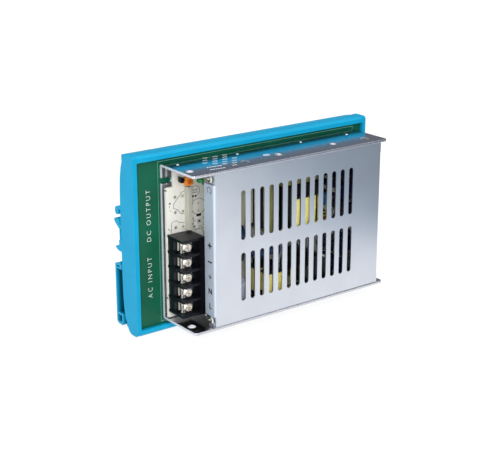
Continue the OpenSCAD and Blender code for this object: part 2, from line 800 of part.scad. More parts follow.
// Flat power package against a wall: tab at z = 0, body towards -z
module power_package() {
    difference() {
        span([-5, 5], [-22, -6], [-1.3, 0]);
        translate([0, -18.6, 0]) rod_z(1.8, -2, 1);
    }
    span([-5, 5], [-15, -6], [-4.4, -1.2]);
    for (k = [-1:1]) span([k * 2.54 - 0.4, k * 2.54 + 0.4], [-6.1, 2.2], [-2.9, -2.3]);
}

module switching_transistor() {
    color(black) on_supply() on_deck(120, -wall_z + 0.1) mirror([0, 0, 1]) power_package();
}

module heat_sink() {
    color(metal) on_supply() on_deck(0, wall_z) {
        span([108, 141], [-17.4, -3], [-2.6, -0.1]);
        for (x = [109.5, 128.4, 132.6, 136.8]) span([x, x + 1], [-17, -3.4], [-5.2, -2.5]);
    }
}

module output_diode() {
    color(black) on_supply() on_deck(119, wall_z - 2.65) {
        span([-5, 5], [-17, -6], [-3.6, 0]);
        for (k = [-1:1]) span([k * 2.54 - 0.4, k * 2.54 + 0.4], [-6.1, 2.2], [-2.2, -1.6]);
    }
}

// Ring choke standing on edge, wound with thick wire
module output_choke() {
    color(copper) on_supply() on_deck(109, -2) translate([0, -9.6, 0]) rotate([0, 90, 0])
        rotate_extrude() translate([5.5, 0]) union() {
            square([4, 9], center = true);
            square([5.2, 7.8], center = true);
        }
    color(copper) on_supply() on_deck(109, -2) for (s = [-1, 1])
        translate([s * 2.6, 0, s * 2]) rod_y(0.5, -3, 2.2);
}

module ripple_capacitor() {
    color(sleeve_blue) on_supply() on_deck(110.5, 12.5) can(4, 16);
}

module output_capacitors() {
    near = [for (z = [29, 16.5, -21.5, -34]) [121.5, z]];
    far = [for (z = [29, 16, 3, -10, -23]) [134, z]];
    color(sleeve_blue) on_supply() for (p = concat(near, far)) on_deck(p[0], p[1]) can(5, 21);
}

// Small dual-row chip on the circuit board
module chip(pins, w = 6.4) {
    l = pins / 2 * 2.54;
    translate([0, -0.5, 0]) difference() {
        span([-l / 2, l / 2], [-3.3, 0], [-w / 2, w / 2]);
        translate([-l / 2, 0, 0]) rod_y(0.7, -4, -3);
    }
    for (k = [0:pins / 2 - 1], s = [-1, 1]) translate([-l / 2 + 1.27 + k * 2.54, 0, s * (w / 2 + 0.55)]) {
        span([-0.25, 0.25], [-2.2, 2.2], [-0.15, 0.15]);
        span([-0.6, 0.6], [-2.3, -1.9], [min(0, -s * 0.7), max(0, -s * 0.7)]);
    }
}

module control_chip() {
    color(black) on_supply() on_deck(42, 40.5) chip(8);
}

module optocoupler() {
    color(black) on_supply() on_deck(56, 41) chip(4);
}

// Leaded resistors lying on the circuit board
module resistors() {
    places = [[34, 30], [34, 25.5], [34, 21], [34, 12], [34, 7.5], [34, 3]];
    color([0.62, 0.50, 0.36]) on_supply() for (p = places)
        on_deck(p[0], p[1]) {
            translate([0, -1.6, 0]) {
                rod_x(1.1, -3, 3);
                for (s = [-1, 1]) translate([s * 2.4, 0, 0]) rod_x(1.3, -0.8, 0.8);
                rod_x(0.3, -5, 5);
            }
            for (s = [-1, 1]) translate([s * 5, 0, 0]) rod_y(0.3, -1.9, 2.2);
        }
}

carrier_profile();
end_plate_left();
end_plate_right();
rail_latch_left();
rail_latch_right();
latch_spring_left();
latch_spring_right();
mounting_board();
board_screws();
chassis();
cover();
cover_screws();
corner_screws();
main_pcb();
pcb_standoffs();
pcb_screws();
insulation_sheet();
terminal_block();
terminal_plates();
clamp_plate_1();
clamp_plate_2();
clamp_plate_3();
clamp_plate_4();
clamp_plate_5();
terminal_screw_1();
terminal_screw_2();
terminal_screw_3();
terminal_screw_4();
terminal_screw_5();
divider_bar();
trimmer_body();
trimmer_rotor();
indicator_led();
reference_transistor();
fuse();
fuse_clips();
surge_varistor();
inrush_limiter();
filter_capacitor();
y_capacitors();
x_capacitor();
film_capacitor();
line_choke_core();
line_choke_winding();
bridge_rectifier();
bulk_capacitor();
transformer_core();
transformer_bobbin();
transformer_winding();
snubber_capacitor();
switching_transistor();
output_diode();
heat_sink();
output_choke();
output_capacitors();
ripple_capacitor();
control_chip();
optocoupler();
resistors();
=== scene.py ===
"""Looks of the rail-mounted power supply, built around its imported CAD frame.

The frame is in metres: X along the rail, -Y the front, Z up, and the origin in the middle of the rail seat.
Places on the supply are given as the CAD gives them: millimetres from the chassis' left end (x), from the
mounting board's front (y, negative towards the front) and from the chassis' middle (z).
"""

import json
import math

import bmesh
import bpy
from mathutils import Matrix, Vector


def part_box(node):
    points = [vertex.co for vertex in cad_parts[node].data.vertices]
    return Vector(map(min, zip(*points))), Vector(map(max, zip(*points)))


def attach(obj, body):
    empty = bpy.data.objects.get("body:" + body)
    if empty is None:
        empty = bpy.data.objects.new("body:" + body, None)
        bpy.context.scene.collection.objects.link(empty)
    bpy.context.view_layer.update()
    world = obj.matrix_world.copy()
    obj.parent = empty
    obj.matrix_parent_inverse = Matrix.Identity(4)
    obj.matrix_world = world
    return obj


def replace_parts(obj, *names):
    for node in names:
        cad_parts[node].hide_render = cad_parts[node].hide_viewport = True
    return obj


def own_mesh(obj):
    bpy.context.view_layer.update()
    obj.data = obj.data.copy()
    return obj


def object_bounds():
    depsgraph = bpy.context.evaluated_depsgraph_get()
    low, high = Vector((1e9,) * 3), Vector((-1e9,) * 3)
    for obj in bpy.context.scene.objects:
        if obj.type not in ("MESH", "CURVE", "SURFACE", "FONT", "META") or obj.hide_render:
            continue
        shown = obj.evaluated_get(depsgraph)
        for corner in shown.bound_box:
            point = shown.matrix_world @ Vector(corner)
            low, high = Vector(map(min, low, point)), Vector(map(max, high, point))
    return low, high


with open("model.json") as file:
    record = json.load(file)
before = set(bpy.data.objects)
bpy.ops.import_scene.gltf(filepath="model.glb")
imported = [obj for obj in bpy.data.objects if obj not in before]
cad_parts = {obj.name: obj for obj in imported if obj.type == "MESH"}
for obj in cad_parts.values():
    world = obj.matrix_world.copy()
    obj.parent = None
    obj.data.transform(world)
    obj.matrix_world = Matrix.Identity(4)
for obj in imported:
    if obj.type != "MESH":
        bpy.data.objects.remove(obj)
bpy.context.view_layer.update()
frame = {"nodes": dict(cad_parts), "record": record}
nodes = frame["nodes"]
MM = 0.001


# ---- Places, worked out from the frame ----

chassis_lo, chassis_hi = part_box("chassis")
pcb_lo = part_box("main_pcb")[0]
board_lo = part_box("mounting_board")[0]
cover_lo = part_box("cover")[0]
LEFT = chassis_lo.x
BOARD_Y = board_lo.y
MIDDLE = (chassis_lo.z + chassis_hi.z) / 2
DECK = (pcb_lo.y - BOARD_Y) / MM


def at(x, y, z):
    """A place on the supply, in millimetres, as a point of the row frame."""
    return Vector((LEFT + x * MM, BOARD_Y + y * MM, MIDDLE + z * MM))


def middle(node):
    lo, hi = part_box(node)
    return (lo + hi) / 2


# ---- Materials ----


def srgb(r, g, b):
    """Linear colour from 0-255 screen values."""
    return [((c / 255 + 0.055) / 1.055) ** 2.4 if c > 10 else c / 255 / 12.92 for c in (r, g, b)]


def shade(colour, factor):
    return [min(1.0, c * factor) for c in colour]


class Surface:
    """A procedural material: noise drives its colour, roughness and bump."""

    def __init__(self, name, colour, rough, metallic=0.0, spread=0.08, stretch=(1, 1, 1), scale=900,
                 grain=0.05, shine=0.5):
        self.material = bpy.data.materials.new(name)
        self.material.use_nodes = True
        self.tree = self.material.node_tree
        self.bsdf = self.tree.nodes["Principled BSDF"]
        self.bsdf.inputs["Metallic"].default_value = metallic
        self.bsdf.inputs["Specular IOR Level"].default_value = shine
        place = self.add("ShaderNodeTexCoord").outputs["Object"]
        mapping = self.add("ShaderNodeMapping")
        mapping.inputs["Scale"].default_value = stretch
        self.link(place, mapping.inputs["Vector"])
        self.place, self.grain_place = place, mapping.outputs["Vector"]
        cloud = self.noise(place, 55, 3)
        fine = self.noise(self.grain_place, scale, 4)
        self.fine = fine
        self.colour = self.ramp(cloud, shade(colour, 1 - spread), shade(colour, 1 + spread))
        speckle = self.mix(fine, self.colour, None, shade(colour, 1 - spread * 1.6), (0.52, 0.80), 0.35)
        self.colour = speckle
        self.link(speckle, self.bsdf.inputs["Base Color"])
        self.link(self.span(fine, rough * 0.82, rough * 1.18), self.bsdf.inputs["Roughness"])
        self.bump = self.add("ShaderNodeBump")
        self.bump.inputs["Strength"].default_value = grain
        self.bump.inputs["Distance"].default_value = 0.0002
        self.link(fine, self.bump.inputs["Height"])
        self.link(self.bump.outputs["Normal"], self.bsdf.inputs["Normal"])

    def add(self, kind):
        return self.tree.nodes.new(kind)

    def link(self, a, b):
        self.tree.links.new(a, b)

    def noise(self, place, scale, detail):
        node = self.add("ShaderNodeTexNoise")
        node.inputs["Scale"].default_value = scale
        node.inputs["Detail"].default_value = detail
        self.link(place, node.inputs["Vector"])
        return node.outputs["Fac"]

    def ramp(self, fac, low, high, at_low=0.3, at_high=0.7):
        node = self.add("ShaderNodeValToRGB")
        stops = node.color_ramp.elements
        stops[0].position, stops[1].position = at_low, at_high
        stops[0].color, stops[1].color = (*low, 1), (*high, 1)
        self.link(fac, node.inputs["Fac"])
        return node.outputs["Color"]

    def span(self, fac, low, high, at_low=0.25, at_high=0.75):
        """Maps fac from at_low..at_high to low..high."""
        node = self.add("ShaderNodeMapRange")
        for key, value in (("From Min", at_low), ("From Max", at_high), ("To Min", low), ("To Max", high)):
            node.inputs[key].default_value = value
        self.link(fac, node.inputs["Value"])
        return node.outputs["Result"]

    def mix(self, fac, a, b_socket, b_colour, window, strength):
        """a, with b over it where fac passes through the window."""
        node = self.add("ShaderNodeMix")
        node.data_type = "RGBA"
        self.link(self.span(fac, 0, strength, *window), node.inputs["Factor"])
        self.link(a, node.inputs["A"])
        if b_socket is None:
            node.inputs["B"].default_value = (*b_colour, 1)
        else:
            self.link(b_socket, node.inputs["B"])
        return node.outputs["Result"]

    def paint(self, colour, fac, window, strength=1.0):
        """Another colour over the base where fac passes through the window."""
        self.colour = self.mix(fac, self.colour, None, colour, window, strength)
        self.link(self.colour, self.bsdf.inputs["Base Color"])

    def painted_edge_highlight(self, colour, strength=0.6, width=0.0006):
        """Painted highlight: lighter edges, where a bevel's normal turns away from the face's."""
        bevel = self.add("ShaderNodeBevel")
        bevel.inputs["Radius"].default_value = width
        bevel.samples = 4
        geometry = self.add("ShaderNodeNewGeometry")
        dot = self.add("ShaderNodeVectorMath")
        dot.operation = "DOT_PRODUCT"
        self.link(bevel.outputs["Normal"], dot.inputs[0])
        self.link(geometry.outputs["Normal"], dot.inputs[1])
        self.paint(colour, dot.outputs["Value"], (0.995, 0.90), strength)

    def axis(self, name):
        """The object coordinate along one axis."""
        node = self.add("ShaderNodeSeparateXYZ")
        self.link(self.place, node.inputs["Vector"])
        return node.outputs[name]

    def calc(self, operation, a, b=None):
        """A maths node on a and b, each a socket or a number."""
        node = self.add("ShaderNodeMath")
        node.operation = operation
        for socket, value in zip(node.inputs, (a, b)):
            if isinstance(value, (int, float)):
                socket.default_value = value
            elif value is not None:
                self.link(value, socket)
        return node.outputs["Value"]

    def along(self, direction):
        """How far the place lies in a direction."""
        node = self.add("ShaderNodeVectorMath")
        node.operation = "DOT_PRODUCT"
        self.link(self.place, node.inputs[0])
        node.inputs[1].default_value = direction
        return node.outputs["Value"]


def finish_of(name):
    return surfaces[name].material


carrier_blue = srgb(10, 150, 190)
surfaces = {
    "carrier": Surface("carrier_plastic", carrier_blue, 0.46, spread=0.05, scale=1500, grain=0.10,
                       shine=0.13),
    "latch": Surface("latch_plastic", shade(carrier_blue, 0.95), 0.44, spread=0.05, scale=1500, grain=0.10,
                     shine=0.22),
    "steel_spring": Surface("spring_steel", srgb(190, 192, 196), 0.25, 1.0),
    "board_green": Surface("green_solder_mask", srgb(10, 86, 62), 0.35, spread=0.12, scale=2600, grain=0.08,
                           shine=0.2),
    "zinc_screw": Surface("zinc_plated_steel", srgb(205, 204, 198), 0.26, 1.0, spread=0.10, scale=2200),
    "case_metal": Surface("satin_aluminium", srgb(204, 205, 212), 0.15, 1.0, spread=0.03,
                          stretch=(0.12, 1, 1), scale=2600, grain=0.02),
    "cover_metal": Surface("satin_cover_aluminium", srgb(207, 211, 219), 0.31, 1.0, spread=0.03,
                           stretch=(0.12, 1, 1), scale=2600, grain=0.05),
    "board_cream": Surface("cream_board", srgb(224, 222, 212), 0.5, spread=0.04, scale=1800, grain=0.08,
                           shine=0.3),
    "insulation": Surface("insulating_film", srgb(222, 222, 210), 0.22, spread=0.04),
    "black_plastic": Surface("black_moulding", srgb(12, 14, 20), 0.34, spread=0.25, scale=1600, grain=0.10,
                             shine=0.26),
    "contact_metal": Surface("nickel_plate", srgb(228, 220, 208), 0.34, 1.0, spread=0.06, scale=1500),
    # the terminals' plates, with painted shade in bands across them
    "plate_metal": Surface("nickel_plate_painted_groove_shade", srgb(246, 240, 230), 0.40, 0.5, spread=0.06, scale=1500),
    "barrier": Surface("barrier_plastic", srgb(184, 182, 170), 0.45, spread=0.06, shine=0.3),
    "orange": Surface("orange_plastic", srgb(240, 140, 30), 0.38, spread=0.10),
    "rotor": Surface("dark_orange_plastic", srgb(206, 104, 24), 0.40, spread=0.12),
    "led_green": Surface("green_epoxy", srgb(60, 180, 96), 0.10, spread=0.06, grain=0.01),
    "fuse_glass": Surface("fuse_glass", srgb(225, 232, 232), 0.05, spread=0.02, grain=0.01),
    "blue_coat": Surface("blue_epoxy", srgb(28, 62, 104), 0.22, spread=0.12, scale=500, grain=0.20),
    "dark_coat": Surface("dark_green_epoxy", srgb(34, 44, 56), 0.26, spread=0.15, scale=500, grain=0.20),
    "grey_case": Surface("lavender_case", srgb(226, 229, 246), 0.40, spread=0.05),
    "cream_case": Surface("cream_grey_case", srgb(178, 176, 152), 0.40, spread=0.14, scale=320, grain=0.20),
    "yellow_case": Surface("olive_yellow_case", srgb(150, 150, 84), 0.34, spread=0.06),
    "ferrite": Surface("ferrite", srgb(14, 15, 20), 0.55, spread=0.20, scale=1300, grain=0.25, shine=0.12),
    "yellow_tape": Surface("yellow_tape", srgb(250, 238, 140), 0.28, spread=0.04, scale=700),
    "copper_wire": Surface("enamelled_copper", srgb(186, 98, 62), 0.24, 1.0, spread=0.12),
    "black_sleeve": Surface("black_sleeve", srgb(14, 14, 18), 0.30, spread=0.20, scale=500, shine=0.3),
    "blue_sleeve": Surface("dark_blue_sleeve", srgb(18, 24, 60), 0.26, spread=0.15, scale=500),
    "bright_sleeve": Surface("blue_sleeve", srgb(24, 92, 150), 0.26, spread=0.10, scale=500),
    "sink_metal": Surface("extruded_aluminium", srgb(150, 152, 158), 0.34, 1.0, stretch=(0.05, 1, 1),
                          scale=1800),
    "resistor_body": Surface("resistor_lacquer", srgb(190, 164, 122), 0.34, spread=0.08),
    "rivet_metal": Surface("rivet_metal", srgb(240, 240, 238), 0.45, 1.0, spread=0.03),
    "liner_white": Surface("white_liner", srgb(244, 244, 240), 0.6, spread=0.02),
    "silk_white": Surface("white_print", srgb(236, 240, 238), 0.5, spread=0.02),
    "silk_black": Surface("black_print", srgb(34, 34, 38), 0.5, spread=0.10, shine=0.2),
    "silk_faint": Surface("pale_green_print", srgb(120, 176, 158), 0.5, spread=0.03),
    "can_top": Surface("aluminium_can", srgb(198, 200, 204), 0.30, 1.0, spread=0.04),
    "solder": Surface("solder", srgb(196, 196, 200), 0.22, 1.0, spread=0.10, scale=1200, grain=0.2),
    "ring_core": Surface("ring_core", srgb(170, 168, 60), 0.45, spread=0.10, scale=800, grain=0.3),
}
surfaces["led_green"].bsdf.inputs["Transmission Weight"].default_value = 0.45
surfaces["fuse_glass"].bsdf.inputs["Transmission Weight"].default_value = 0.9


def dull_fold_painted_reflection(look):
    """The cover's folded left end is duller than its face, with a painted reflection that makes it a little
    bluer.
    """
    x = look.axis("X")
    look.link(look.span(x, 0.60, 0.31, cover_lo.x, cover_lo.x + 1.6 * MM), look.bsdf.inputs["Roughness"])
    look.paint(srgb(204, 213, 226), x, (cover_lo.x + 1.4 * MM, cover_lo.x + 0.7 * MM), 0.8)


def painted_cell_shade(look):
    """Painted shade: the latches are darker inside the cells that open at their outer ends."""
    lo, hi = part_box("rail_latch_left")[0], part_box("rail_latch_right")[1]
    half = (hi.x - lo.x) / 2
    reach = look.calc("ABSOLUTE", look.calc("SUBTRACT", look.axis("X"), (lo.x + hi.x) / 2))
    inward = look.span(reach, 0, 1, half - 0.3 * MM, half - 2.4 * MM)
    off_back = look.span(look.axis("Y"), 1, 0, hi.y - 1.0 * MM, hi.y - 0.4 * MM)
    look.paint(shade(carrier_blue, 0.18), look.calc("MULTIPLY", inward, off_back), (0, 1), 0.95)


def painted_groove_shade(look, spacing=1.5 * MM):
    """Painted shade in bands across the terminals' plates, where grooves would lie; the plates' shape has no
    grooves.
    """
    from_ridge = look.calc("PINGPONG", look.axis("X"), spacing / 2)
    look.paint(srgb(46, 42, 38), from_ridge, (0.30 * MM, 0.50 * MM), 0.9)


def sheet_rims(look, radius=0.9 * MM):
    """The case's sheet has rolled rims, and ends that were cut and left rough."""
    rim = look.add("ShaderNodeBevel")
    rim.inputs["Radius"].default_value = radius
    rim.samples = 6
    look.link(rim.outputs["Normal"], look.bump.inputs["Normal"])
    facing = look.add("ShaderNodeSeparateXYZ")
    look.link(look.add("ShaderNodeNewGeometry").outputs["Normal"], facing.inputs["Vector"])
    cut = (-0.85, -0.35)
    look.link(look.span(facing.outputs["X"], 0.15, 1.0, *cut), look.bsdf.inputs["Metallic"])
    look.link(look.span(facing.outputs["X"], 0.50, 0.15, *cut), look.bsdf.inputs["Roughness"])


# rougher folded end of the cover, with a painted bluish reflection
dull_fold_painted_reflection(surfaces["cover_metal"])
# painted shade inside the latches' open cells
painted_cell_shade(surfaces["latch"])
# painted shade in bands across the terminals' plates
painted_groove_shade(surfaces["plate_metal"])
sheet_rims(surfaces["case_metal"])
# painted highlights along the carrier's edges
surfaces["carrier"].painted_edge_highlight(shade(carrier_blue, 1.25), 0.30)

# The record's slots that the CAD nodes keep, with the cover's own finish apart
for part in frame["record"]["subparts"]:
    node = nodes[part["node"]]
    look = "cover_metal" if part["node"] == "cover" else part["material_slot"]
    if part["node"].startswith(("clamp_plate", "terminal_plates")):
        look = "plate_metal"
    if not node.material_slots:
        node.data.materials.append(None)
    for s in node.material_slots:
        s.material = finish_of(look)


def soften(name, width, segments=3, angle=40):
    """Rounds the hard edges of a CAD node, so that they catch the light."""
    m = nodes[name].modifiers.new("edge", "BEVEL")
    m.width = width * MM
    m.segments = segments
    m.limit_method = "ANGLE"
    m.angle_limit = math.radians(angle)
    m.miter_outer = "MITER_ARC"


# ---- Mesh helpers ----


def new_piece(name, mesh, look, body="supply", smooth=35):
    piece = bpy.data.objects.new(name, mesh)
    bpy.context.collection.objects.link(piece)
    if look:
        mesh.materials.append(finish_of(look))
    if smooth:
        for polygon in mesh.polygons:
            polygon.use_smooth = True
        mesh.set_sharp_from_angle(angle=math.radians(smooth))
    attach(piece, body)
    return piece


def mesh_from(name, bm):
    bmesh.ops.recalc_face_normals(bm, faces=bm.faces)
    mesh = bpy.data.meshes.new(name)
    bm.to_mesh(mesh)
    bm.free()
    return mesh


def lathe(bm, profile, origin, axis="Y", steps=32):
    """Turns (radius, height) points round an axis through origin; heights go along -Y or the named axis."""
    turn = {"Y": Matrix(((1, 0, 0), (0, 0, -1), (0, 1, 0))), "X": Matrix(((0, 0, 1), (0, 1, 0), (-1, 0, 0))),
            "Z": Matrix.Identity(3)}[axis]
    rings = []
    for r, h in profile:
        if r == 0:
            rings.append([bm.verts.new(origin + turn @ Vector((0, 0, h * MM)))])
            continue
        ring = []
        for i in range(steps):
            a = 2 * math.pi * i / steps
            offset = Vector((r * MM * math.cos(a), r * MM * math.sin(a), h * MM))
            ring.append(bm.verts.new(origin + turn @ offset))
        rings.append(ring)
    faces = []
    for low, high in zip(rings, rings[1:]):
        row = []
        for i in range(steps):
            j = (i + 1) % steps
            corners = [low[i % len(low)], low[j % len(low)], high[j % len(high)], high[i % len(high)]]
            corners = [c for k, c in enumerate(corners) if c is not corners[k - 1]]
            row.append(bm.faces.new(corners))
        faces.append(row)
    return faces


def tube(bm, points, radius, sides=8):
    """A round wire along points, with closed ends."""
    rings = []
    normal = None
    for i, p in enumerate(points):
        ahead = points[min(i + 1, len(points) - 1)] - points[max(i - 1, 0)]
        ahead.normalize()
        if normal is None:
            normal = ahead.orthogonal().normalized()
        normal = (normal - ahead * normal.dot(ahead)).normalized()
        side = ahead.cross(normal)
        rings.append([
            bm.verts.new(p + radius * (math.cos(a) * normal + math.sin(a) * side))
            for a in (2 * math.pi * k / sides for k in range(sides))
        ])
    for low, high in zip(rings, rings[1:]):
        for k in range(sides):
            bm.faces.new((low[k], low[(k + 1) % sides], high[(k + 1) % sides], high[k]))
    bm.faces.new(reversed(rings[0]))
    bm.faces.new(rings[-1])


def ribbon(bm, points, width, closed=False, across=Vector((0, 1, 0)), lift=0.00003):
    """A thin printed line along points, standing lift above the surface whose normal is -across."""
    count = len(points)
    rails = []
    for i, p in enumerate(points):
        before = points[i - 1] if closed or i else p
        after = points[(i + 1) % count] if closed or i < count - 1 else p
        along = (after - before).normalized()
        side = along.cross(across).normalized() * width / 2
        corners = ((-1, 0), (1, 0), (1, lift), (-1, lift))
        rails.append([bm.verts.new(p + s * side - across * h) for s, h in corners])
    pairs = list(zip(rails, rails[1:] + rails[:1])) if closed else list(zip(rails, rails[1:]))
    for a, b in pairs:
        for k in range(4):
            bm.faces.new((a[k], a[(k + 1) % 4], b[(k + 1) % 4], b[k]))
    if not closed:
        bm.faces.new(rails[0])
        bm.faces.new(reversed(rails[-1]))


def round_box(bm, lo, hi, radius, segments=3):
    """A box with rounded edges between two corners of the row frame."""
    made = bmesh.ops.create_cube(bm, size=1)
    centre, size = (lo + hi) / 2, hi - lo
    for v in made["verts"]:
        v.co = Vector((centre[k] + v.co[k] * size[k] for k in range(3)))
    edges = {e for v in made["verts"] for e in v.link_edges}
    bmesh.ops.bevel(bm, geom=list(edges), offset=radius, segments=segments, profile=0.5, affect="EDGES")


def circle(centre, radius, a0=0, a1=360, steps=24):
    """Points of an arc on the board's face."""
    return [
        centre + Vector((radius * math.cos(math.radians(a)), 0, radius * math.sin(math.radians(a)))) * MM
        for a in (a0 + (a1 - a0) * i / steps for i in range(steps + 1))
    ]


def lettering(name, text, size, centre, turn, look, thickness=0.00002, spacing=1.0, weight=0.0):
    """Printed characters, as a mesh."""
    curve = bpy.data.curves.new(name, "FONT")
    curve.body = text
    curve.size = size * MM
    curve.extrude = thickness
    curve.align_x, curve.align_y = "CENTER", "CENTER"
    curve.space_character = spacing
    curve.offset = weight * MM
    curve.resolution_u = 3
    holder = bpy.data.objects.new(name + "_curve", curve)
    bpy.context.collection.objects.link(holder)
    bpy.context.view_layer.update()
    mesh = bpy.data.meshes.new_from_object(holder.evaluated_get(bpy.context.evaluated_depsgraph_get()))
    bpy.data.objects.remove(holder)
    mesh.transform(Matrix.Translation(centre) @ turn.to_4x4())
    mesh.materials.clear()
    return new_piece(name, mesh, look, smooth=None)


FRONT = Matrix.Rotation(math.radians(90), 3, "X")                   # reads on a face that looks to -Y
UPWARDS = FRONT @ Matrix.Rotation(math.radians(90), 3, "Z")         # the same, from bottom to top
ON_LEFT = Matrix.Rotation(math.radians(-90), 3, "Z") @ FRONT        # reads on a face that looks to -X

# ---- CAD nodes that keep their shape ----

# the width of each node's rounded edges, in millimetres
EDGES = {
    "carrier_profile": 0.5, "end_plate_left": 0.9, "end_plate_right": 0.9, "rail_latch_left": 0.35,
    "rail_latch_right": 0.35, "mounting_board": 0.15, "board_screws": 0.2, "chassis": 0.5, "cover": 0.25,
    "cover_screws": 0.12, "corner_screws": 0.2, "main_pcb": 0.12, "pcb_standoffs": 0.2, "pcb_screws": 0.2,
    "terminal_block": 0.22, "terminal_plates": 0.3, "divider_bar": 0.2, "trimmer_body": 0.25,
    "trimmer_rotor": 0.15, "indicator_led": 0.1, "fuse_clips": 0.15, "filter_capacitor": 0.5,
    "x_capacitor": 0.5, "film_capacitor": 0.5, "reference_transistor": 0.15, "line_choke_core": 0.6,
    "bridge_rectifier": 0.4, "transformer_core": 0.7, "transformer_bobbin": 0.3, "snubber_capacitor": 0.5,
    "switching_transistor": 0.25, "output_diode": 0.25, "heat_sink": 0.2, "control_chip": 0.12,
    "optocoupler": 0.12,
}
for i in range(1, 6):
    EDGES[f"clamp_plate_{i}"] = 0.32
    EDGES[f"terminal_screw_{i}"] = 0.28
for name, width in EDGES.items():
    soften(name, width)

# ---- Springs of the rail latches ----


def latch_spring(side):
    node = f"latch_spring_{side}"
    lo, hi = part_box(node)
    centre, wire = (lo + hi) / 2, 0.3 * MM
    radius, low, high = (hi.x - lo.x) / 2 - wire, lo.z + wire, hi.z - wire
    turns, steps, dead = 7, 28, 1.0     # the dead turns at each end lie close together
    points = []
    for i in range(turns * steps + 1):
        t = i / steps
        rise = min(max((t - dead) / (turns - 2 * dead), 0), 1)
        closed = (min(t, dead) + max(t - turns + dead, 0)) / dead
        z = low + (high - low) * (0.035 * closed + 0.93 * rise)
        a = 2 * math.pi * t
        points.append(Vector((centre.x + radius * math.cos(a), centre.y + radius * math.sin(a),
                              min(z, high))))
    bm = bmesh.new()
    tube(bm, points, wire, 10)
    piece = new_piece(f"coil_{side}", mesh_from("coil", bm), "steel_spring", smooth=60)
    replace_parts(piece, node)
    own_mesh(piece)


latch_spring("left")
latch_spring("right")

# ---- Print on the mounting board and the case ----

lettering("board_marking", "AC INPUT    DC OUTPUT", 4.4, at(-8.5, -0.02, 0.4), UPWARDS, "silk_white",
          spacing=1.42, weight=-0.09)

bm = bmesh.new()
margin = 1.5
corners = [at(-margin, 0, -49 - margin), at(150 + margin, 0, -49 - margin), at(150 + margin, 0, 49 + margin),
           at(-margin, 0, 49 + margin)]
ribbon(bm, corners, 0.3 * MM, closed=True)
new_piece("board_outline", mesh_from("board_outline", bm), "silk_faint", smooth=None)

terminal_z = [middle(f"clamp_plate_{i}").z for i in range(1, 6)]
strip_x = cover_lo.x - 0.01 * MM
strip_y = cover_lo.y + 4.8 * MM
mark_up = 2.2 * MM      # the marks stand a little above their screws
INWARD = Vector((1, 0, 0))
marks = (("plus", "+", 7.4), ("minus", "–", 7.4), ("earth", "", 0), ("neutral", "N", 4.8), ("live", "L", 4.8))
for (mark, label, size), z in zip(marks, terminal_z):
    place = Vector((strip_x, strip_y, z + mark_up))
    if label:
        lettering(f"mark_{mark}", label, size, place, ON_LEFT, "silk_black", weight=0.2)
        continue
    bm = bmesh.new()
    ribbon(bm, [place + Vector((0, 0, 1.8)) * MM, place], 0.5 * MM, across=INWARD)
    for k, half in enumerate((1.5, 0.95, 0.4)):
        bar = [place + Vector((0, side * half, -0.7 * k)) * MM for side in (-1, 1)]
        ribbon(bm, bar, 0.5 * MM, across=INWARD)
    new_piece("mark_earth", mesh_from("mark_earth", bm), "silk_black", smooth=None)

# A turning arrow beside the trimmer
bm = bmesh.new()
spot = Vector((strip_x, strip_y, middle("trimmer_body").z - 0.6 * MM))
arc = [spot + Vector((0, 2.0 * math.cos(a), 2.0 * math.sin(a))) * MM
       for a in (math.radians(-50 + 280 * i / 20) for i in range(21))]
ribbon(bm, arc, 0.35 * MM, across=INWARD)
tip = arc[-1]
for sign in (-1, 1):
    ribbon(bm, [tip, tip + Vector((0, 0.9 * sign, 0.9)) * MM], 0.35 * MM, across=INWARD)
new_piece("mark_adjust", mesh_from("mark_adjust", bm), "silk_black", smooth=None)

# Plain printed ticks on the upper wall
bm = bmesh.new()
top = chassis_hi.z
columns = (((29.5, -4.6), (22.8, -14.1), 3), ((36.3, -5.3), (26.9, -18.6), 4),
           ((43.1, -5.9), (31.1, -22.6), 5), ((43.6, -15.2), (34.1, -28.2), 4))


def on_wall(x, y):
    p = at(x, y, 0)
    p.z = top
    return p


def dash(x, y, length, width=0.5):
    ribbon(bm, [on_wall(x, y), on_wall(x + length, y)], width * MM, across=Vector((0, 0, -1)))


for start, end, count in columns:
    for k in range(count):
        t = k / (count - 1)
        x, y = start[0] + (end[0] - start[0]) * t, start[1] + (end[1] - start[1]) * t
        for shift in (-1.5, 0.3):
            dash(x + shift, y - 0.6, 1.1, 0.35)
            dash(x + shift, y + 0.6, 1.1, 0.35)
for x0, y, count in ((17.6, -23.4, 6), (16.4, -28.6, 6)):
    for k in range(count):
        dash(x0 + 1.7 * k, y - 0.2 * k, 1.2, 0.8)
dash(60.8, -21.1, 5.0, 0.4)
loop = [on_wall(63.3 + 1.7 * math.cos(a), -21.1 + 1.7 * math.sin(a))
        for a in (math.pi * i / 8 for i in range(16))]
ribbon(bm, loop, 0.4 * MM, closed=True, across=Vector((0, 0, -1)))
new_piece("case_ticks", mesh_from("case_ticks", bm), "silk_white", smooth=None)

# Rivet heads in the small holes of the upper wall, and the white liner seen through its large ones
bm = bmesh.new()
for x, y in ((7.5, -8), (50.3, -8.9), (100.2, -8.7), (137, -10.8)):
    lathe(bm, [(0.84, -1.2), (0.84, 0.05), (0.7, 0.22), (0.4, 0.34), (0, 0.38)], on_wall(x, y), "Z", 20)
new_piece("wall_rivets", mesh_from("wall_rivets", bm), "rivet_metal")
bm = bmesh.new()
liner_top = top - 1.9 * MM
lo, hi = at(62, -28.5, 0), at(121, -16, 0)
lo.z, hi.z = liner_top - 0.3 * MM, liner_top
round_box(bm, lo, hi, 0.1 * MM, 1)
new_piece("wall_liner", mesh_from("wall_liner", bm), "liner_white", smooth=None)

# ---- Print and pads on the circuit board ----

bm = bmesh.new()
line = 0.28 * MM


def on_face(x, z):
    return at(x, DECK, z)


